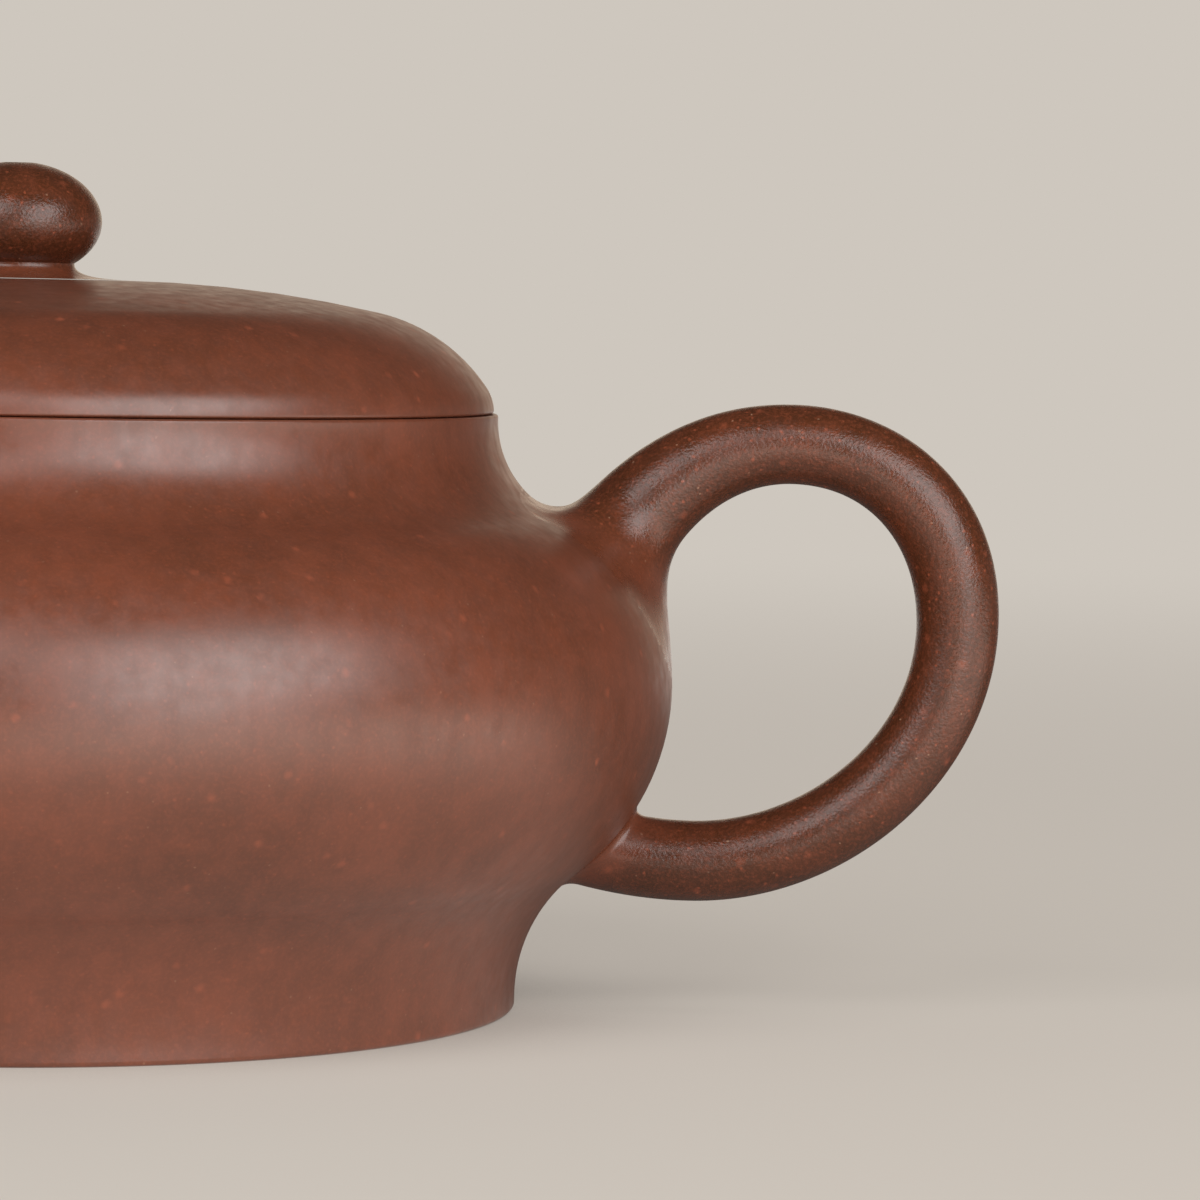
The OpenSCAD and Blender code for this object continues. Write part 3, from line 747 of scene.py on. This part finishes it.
class TEAPOT_OT_handle(Operator):
    """Sweep the ear-shaped handle and press its two roots onto the body"""
    bl_idname = "teapot.handle"
    bl_label = "Pull the handle"

    def execute(self, context):
        s, clay = context.scene.teapot_handle, clays(context.scene)
        plan = BodyPlan(context.scene.teapot_body)
        top, back, low = np.array([(s.top_x, s.top_z), (s.reach, s.reach_z), (s.low_x, s.low_z)])
        # Four cubic curves: from inside the belly to the top, to the farthest point, to the bottom and
        # back into the belly. At those three points the line is level or upright.
        line = np.array([
            [(44 * MM, 32.7 * MM), (46.9 * MM, 38.6 * MM), top - (6.6 * MM, 0), top],
            [top, top + (7.3 * MM, 0), back + (0, 8 * MM), back],
            [back, back - (0, 10.5 * MM), low + (10 * MM, 0), low],
            [low, low - (4 * MM, 0), (44 * MM, 12.2 * MM), (40 * MM, 13.6 * MM)]])

        def surface(u):
            """The bar at u along the line. Its radius is the bar's plus what it gains towards the upper
            root over the first quarter, with the power 1.6, towards the lower one from 0.55 on, with the
            power 1.3, and on its far side, from 0.28 to 0.6."""
            i = np.clip((u * 4).astype(int), 0, 3)
            radius = (s.bar + (s.upper_root - s.bar) * np.maximum(0, 1 - 4 * u) ** 1.6
                      + (s.lower_root - s.bar) * np.maximum(0, (u - 0.55) / 0.45) ** 1.3
                      + s.swell * np.sin(pi * np.clip((u - 0.28) / 0.32, 0, 1)) ** 2)
            return limb(*bezier(line[i], u * 4 - i), radius, 1.06)

        def spread(outer, side, inner):
            """A fillet's size round the limb, from millimetres on the loop's outside, side and inside."""
            c = np.cos(TURNS)
            return (side * (1 - c * c) + np.where(c > 0, outer, inner) * c * c) * MM

        span = 0.3  # Share of the line in which each root is looked for
        upper, u_first, n_first = root(plan, surface, span, spread(4.4, 5.0, 5.6), wide=1.35, steps=24)
        lower, u_last, n_last = root(plan, lambda v: surface(1 - v), span, spread(1.2, 0.8, 1.3))
        u_last = 1 - u_last
        rows = 220
        t = np.linspace(0, 1, rows + 1)[1:-1, None]
        bar = surface(u_first + (u_last - u_first) * t)[0]
        rings = np.concatenate([upper, bar, lower[::-1]])
        square = directions(rings, False)
        square[0], square[-1] = n_first, n_last
        # Each end closes in a point inside the body's wall
        deep = 1.2 * MM
        first, last = (np.broadcast_to(r.mean(0) - n.mean(0) * deep, r.shape)[None]
                       for r, n in ((rings[0], n_first), (rings[-1], n_last)))
        rings = np.concatenate([first, rings, last])
        square = np.concatenate([square[:1], square, square[-1:]])
        mesh = skin("ear_handle", rings, square[:-1], square[1:], np.zeros(len(rings) - 1, int), False,
                    plan.fade(rings))
        piece(mesh, "pot", "handle", "limb_clay", clay["smoothed"])
        return {"FINISHED"}


class TEAPOT_OT_spout(Operator):
    """Sweep the hollow spout, round its lip and press its root onto the body"""
    bl_idname = "teapot.spout"
    bl_label = "Pull the spout"

    def execute(self, context):
        s, clay = context.scene.teapot_spout, clays(context.scene)
        plan = BodyPlan(context.scene.teapot_body)
        height = context.scene.teapot_body.pour_height
        line = np.array([(-38 * MM, height - MM), (-55 * MM, height - 0.5 * MM),
                         (-s.tip_x + 6.5 * MM, s.tip_z - 13 * MM), (-s.tip_x, s.tip_z)])

        def wall(inset):
            """The outside of the spout for inset 0 and its bore for 1. The radius falls from root to tip
            with the power 1.7 of the way left, the rings are up to 0.16 narrower along Y towards the
            root, and those past 0.6 of the way turn towards level."""
            def surface(t):
                left = np.clip(1 - t, 0, 1) ** 1.7
                lean = s.tip_cut * np.clip((t - 0.6) / 0.4, 0, 1) ** 2
                radius = (s.tip + (s.root - s.tip) * left
                          - inset * (s.tip_wall + (s.root_wall - s.tip_wall) * left))
                return limb(*bezier(line, t), radius, 1 - 0.16 * (1 - t), lean)
            return surface

        outside, bore = wall(0), wall(1)
        ring = np.zeros(LIMB_SIDES)
        near = (3.4 + 0.6 * np.cos(TURNS)) * MM  # The fillet is larger above than below
        span = 0.6  # Share of the line in which the root is looked for
        rootage, t_first, n_first = root(plan, outside, span, near, steps=20)
        t_last, tiny = 1 - 0.018, 0.002  # The lip starts just before the tip
        tube_rows, lip_rows, bore_rows = (np.linspace(0, 1, rows + 1)[1:, None] for rows in (100, 14, 60))
        tube = outside(t_first + (t_last - t_first) * tube_rows)[0]
        # The lip is a cubic half round from the outside to the bore, along the spout's own direction.
        ends = [f(t_last + ring[None])[0][0] for f in (outside, bore)]
        tangents = [unit(e - f(t_last - tiny + ring[None])[0][0]) for e, f in zip(ends, (outside, bore))]
        bulge = np.linalg.norm(ends[0] - ends[1], axis=-1, keepdims=True) * 2 / 3
        control = np.stack([ends[0], ends[0] + tangents[0] * bulge, ends[1] + tangents[1] * bulge,
                            ends[1]], -2)
        lip = bezier(control, lip_rows + ring)[0]
        t_end = leave_body(plan, bore, span)
        inside = bore(t_last + (t_end - t_last) * bore_rows)[0]
        inside[-1] -= plan.normal(inside[-1]) * SINK
        rings = np.concatenate([rootage, tube, lip, inside])
        square = directions(rings, True)
        square[0] = n_first
        square[-1] = directions(rings[-3:], False)[-1]
        # The smoothed finish goes four rows into the bore
        finish = (np.arange(len(rings)) >= len(rings) - len(inside) + 4).astype(int)
        mesh = skin("pouring_spout", rings, square, np.roll(square, -1, 0), finish, True, plan.fade(rings))
        piece(mesh, "pot", "spout", "limb_clay", clay["smoothed"], clay["scraped"])
        return {"FINISHED"}


class TEAPOT_OT_strainer(Operator):
    """Turn the domed strainer in the pour hole and pierce its holes"""
    bl_idname = "teapot.strainer"
    bl_label = "Pierce the strainer"

    def execute(self, context):
        s, body = context.scene.teapot_strainer, context.scene.teapot_body
        inside = body.pour_hole - s.thickness
        dome = section((inside, 0), 0, [
            (s.thickness, 0), CORNER, (s.collar, 0), (body.pour_hole, QUARTER), CORNER,
            (s.thickness, 0), CORNER, (inside, -QUARTER), (s.collar, 0)])
        # Rings of holes round the dome: degrees off its axis and count
        rings = (0, 1), (20, 6), (40, 12), (60, 16)
        lean, turn = np.radians([(off, 360 * (k + 0.5) / count) for off, count in rings
                                 for k in range(count)]).T
        along = np.stack([np.sin(lean) * np.cos(turn), np.sin(lean) * np.sin(turn), np.cos(lean)], 1)
        holes = pegs("holes", along * (inside - PAST) + (0, 0, s.collar), along, s.hole,
                     s.thickness + 2 * PAST)
        shell = turned("strainer_dome", dome, sides=96)
        place = Matrix.Translation((-s.reach, 0, body.pour_height)) @ Matrix.Rotation(QUARTER, 4, "Y")
        for mesh in (shell, holes):
            mesh.transform(place)

        def dome_direction(p):
            """Square to the strainer: away from its axis on the collar, and from its centre on the dome."""
            d = p - (s.collar - s.reach, 0, body.pour_height)
            d[:, 0] = np.maximum(d[:, 0], 0)
            return unit(d)

        mesh = cut(shell, holes, (clays(context.scene)["scraped"],), dome_direction)
        piece(mesh, "pot", "strainer", "pot_clay")
        return {"FINISHED"}


class TEAPOT_OT_camera(Operator):
    """Set the camera close by, a little above the rim and turned down, towards the handle's half"""
    bl_idname = "teapot.camera"
    bl_label = "Set the camera"

    def execute(self, context):
        spot, lens, sensor = (44.41 * MM, -420 * MM, 54.74 * MM), 166.94, 36
        down, roll = radians(3.229), radians(1.145)
        data = bpy.data.cameras.new("camera")
        data.lens, data.sensor_width = lens, sensor
        data.clip_start, data.clip_end = 0.01, 20
        camera = bpy.data.objects.new("camera", data)
        context.scene.collection.objects.link(camera)
        camera.matrix_world = (Matrix.Translation(spot) @ Matrix.Rotation(QUARTER - down, 4, "X")
                               @ Matrix.Rotation(roll, 4, "Z"))
        context.scene.camera = camera
        return {"FINISHED"}


class TEAPOT_OT_stage(Operator):
    """Lay the pale floor and set the soft lights and the plain surroundings"""
    bl_idname = "teapot.stage"
    bl_label = "Set the stage"

    # Each lamp's degrees to the right of straight in front and degrees above level, as seen from the
    # pot, and its distance, width and height in metres
    lamps = {"key": (42, 27, 0.75, 0.66, 0.42), "low": (34, 6, 0.8, 0.5, 0.2),
             "front": (-25, 38, 0.9, 0.6, 0.5), "left": (-45, 18, 0.9, 1.1, 0.6)}

    def execute(self, context):
        s, scene = context.scene.teapot_stage, context.scene
        scene.view_settings.view_transform = "Standard"
        wide, thick = 3, 10 * MM
        floor = turned("floor", section((0, -thick), 0, [
            (wide, 0), CORNER, (thick, 0), CORNER, (wide, 0)]), sides=128)
        floor.materials.append(self.floor_finish(s))
        floor = bpy.data.objects.new("floor", floor)
        scene.collection.objects.link(floor)
        aim = Vector((0, 0, 30 * MM))
        for name, (turn, height, distance, *size) in self.lamps.items():
            data = bpy.data.lights.new(name + "_light", "AREA")
            data.shape, data.size, data.size_y, data.energy = "RECTANGLE", *size, getattr(s, name)
            a, b = radians(turn), radians(height)
            away = Vector((sin(a) * cos(b), -cos(a) * cos(b), sin(b)))
            lamp = bpy.data.objects.new(name + "_light", data)
            lamp.matrix_world = (Matrix.Translation(aim + away * distance)
                                 @ away.to_track_quat("Z", "Y").to_matrix().to_4x4())
            scene.collection.objects.link(lamp)
        self.surroundings(s)
        return {"FINISHED"}

    def floor_finish(self, s):
        """Matt pale cloth that runs out into the backdrop's colour, with a glow of its own as if a bright
        room
        stood round it: painted light, since the floor is no lamp. Near the pot the glow that the camera
        sees is darkened by ambient occlusion, a painted shadow. Light comes off it onto the pot from in
        front, and the pot mirrors it brighter farther out on the right and behind, a painted pool of light
        that only reflections see. Distances are in metres."""
        material = bpy.data.materials.new("pale_floor")
        tree = emptied(material)
        place = add(tree, "TexCoord", out="Object")
        away = add(tree, "VectorMath", place, out="Value", operation="LENGTH")
        heading = add(tree, "VectorMath", place, operation="NORMALIZE")
        # The cosines of the angles to three headings, in degrees right of the front
        front, right, rear = (
            add(tree, "VectorMath", heading, (sin(a), -cos(a), 0), out="Value",
                operation="DOT_PRODUCT") for a in map(radians, (15, 44, 180)))
        far = [(away, 0, 0.75)]
        # Painted shadow: ambient occlusion darkens the floor's glow round the pot, as the pot's soft shade
        # from the room's light
        open_sky = add(tree, "AmbientOcclusion", {"Distance": 90 * MM}, out="AO", samples=8)
        shown = mask(tree, far, mask(tree, [(open_sky, 0.05, 0.5)], 0.22, 0.51), 1)
        given = mask(tree, [(front, 0.2, 0.8), (away, 0.52, 0.3)])
        # Painted pool of light that only the pot's reflections see: the glow for glossy rays rises from
        # 0.65 to 3.8 between 5 and 18 cm out
        painted_pool = mask(tree, [(away, 0.05, 0.18)], 0.65, 3.8)
        mirrored = mask(tree, [(right, 0.44, 0.9), (away, 1.1, 0.8)], 0.2, painted_pool)
        mirrored = mask(tree, [(rear, 0.8, 0.97), (away, 0.15, 0.4)], mirrored, 1.7)
        diffuse = add(tree, "LightPath", out="Is Diffuse Ray")
        # Far out the cloth gives way to the backdrop's own light
        fading = mask(tree, far)
        cloth, tint = (add(tree, "Mix", {0: fading, 6: near, 7: out}, out=2, data_type="RGBA")
                       for near, out in ((s.weave, (0, 0, 0, 1)), (s.floor, s.backdrop)))
        lit = add(tree, "AddShader", add(tree, "BsdfDiffuse", cloth),
                  add(tree, "Emission", tint, add(tree, "MapRange", diffuse, 0, 1, shown, given)))
        both = add(tree, "MixShader", diffuse.node.outputs["Is Glossy Ray"], lit,
                   add(tree, "Emission", s.floor, mirrored))
        add(tree, "OutputMaterial", both)
        return material

    def surroundings(self, s):
        """The backdrop's colour where it is seen, and a dim room elsewhere. The pot mirrors a glow low
        behind it and a weaker one low on the right, and soft light falls on its back from all over that
        side."""
        world = bpy.data.worlds.new("studio")
        bpy.context.scene.world = world
        tree = emptied(world)
        x, y, z = add(tree, "SeparateXYZ", add(tree, "TexCoord", out="Generated")).node.outputs
        path = add(tree, "LightPath").node.outputs
        behind, glow = (mask(tree, [(y, 0.84, 0.98), (z, 0.62, 0.15)], *ends)
                        for ends in ((0, 1), (1, 1.2)))
        tint = s.dim
        for factor, colour_there in ((mask(tree, [(x, 0.3, 0.9), (z, 0.3, 0)], 0, 0.36), s.backdrop),
                                     (behind, s.glow)):
            tint = add(tree, "Mix", {0: factor, 6: tint, 7: colour_there}, out=2, data_type="RGBA")
        rear = mask(tree, [(y, -0.1, 0.8)], 0, 0.75)
        falling = add(tree, "Mix", {0: rear, 6: s.dim, 7: s.floor}, out=2, data_type="RGBA")
        room = add(tree, "MixShader", path["Is Diffuse Ray"], add(tree, "Background", tint, glow),
                   add(tree, "Background", falling))
        shown = add(tree, "Math", path["Is Camera Ray"], path["Is Transmission Ray"], operation="MAXIMUM")
        add(tree, "OutputWorld", add(tree, "MixShader", shown, room, add(tree, "Background", s.backdrop)))


class TEAPOT_PT_panel(bpy.types.Panel):
    """Lists the teapot's parts and its stage"""
    bl_idname = "TEAPOT_PT_panel"
    bl_label = "Teapot"
    bl_space_type = "VIEW_3D"
    bl_region_type = "UI"
    bl_category = "Teapot"

    def draw(self, context):
        for name in OPERATORS:
            self.layout.operator(f"teapot.{name}")
        for name in GROUPS:
            box = self.layout.box()
            group = getattr(context.scene, name)
            box.label(text=group.bl_rna.description)
            for key in group.__annotations__:
                box.prop(group, key)


GROUPS = {"teapot_body": TeapotBodySizes, "teapot_lid": TeapotLidSizes, "teapot_knob": TeapotKnobSizes,
          "teapot_handle": TeapotHandleSizes, "teapot_spout": TeapotSpoutSizes,
          "teapot_strainer": TeapotStrainerSizes, "teapot_clay": TeapotClay,
          "teapot_stage": TeapotStage}
OPERATORS = {"camera": TEAPOT_OT_camera, "walls": TEAPOT_OT_walls, "strainer": TEAPOT_OT_strainer,
             "spout": TEAPOT_OT_spout, "handle": TEAPOT_OT_handle, "lid": TEAPOT_OT_lid,
             "knob": TEAPOT_OT_knob, "stage": TEAPOT_OT_stage}
CLASSES = [*GROUPS.values(), *OPERATORS.values(), TEAPOT_PT_panel]


def register():
    """Makes the property groups, operators and panel known to Blender."""
    for cls in CLASSES:
        bpy.utils.register_class(cls)
    for name, cls in GROUPS.items():
        setattr(bpy.types.Scene, name, PointerProperty(type=cls))


def unregister():
    """Takes them away again."""
    for name in GROUPS:
        delattr(bpy.types.Scene, name)
    for cls in reversed(CLASSES):
        bpy.utils.unregister_class(cls)


def main():
    """Builds every piece and the stage."""
    register()
    for name in OPERATORS:
        getattr(bpy.ops.teapot, name)()


if __name__ == "__main__":
    main()
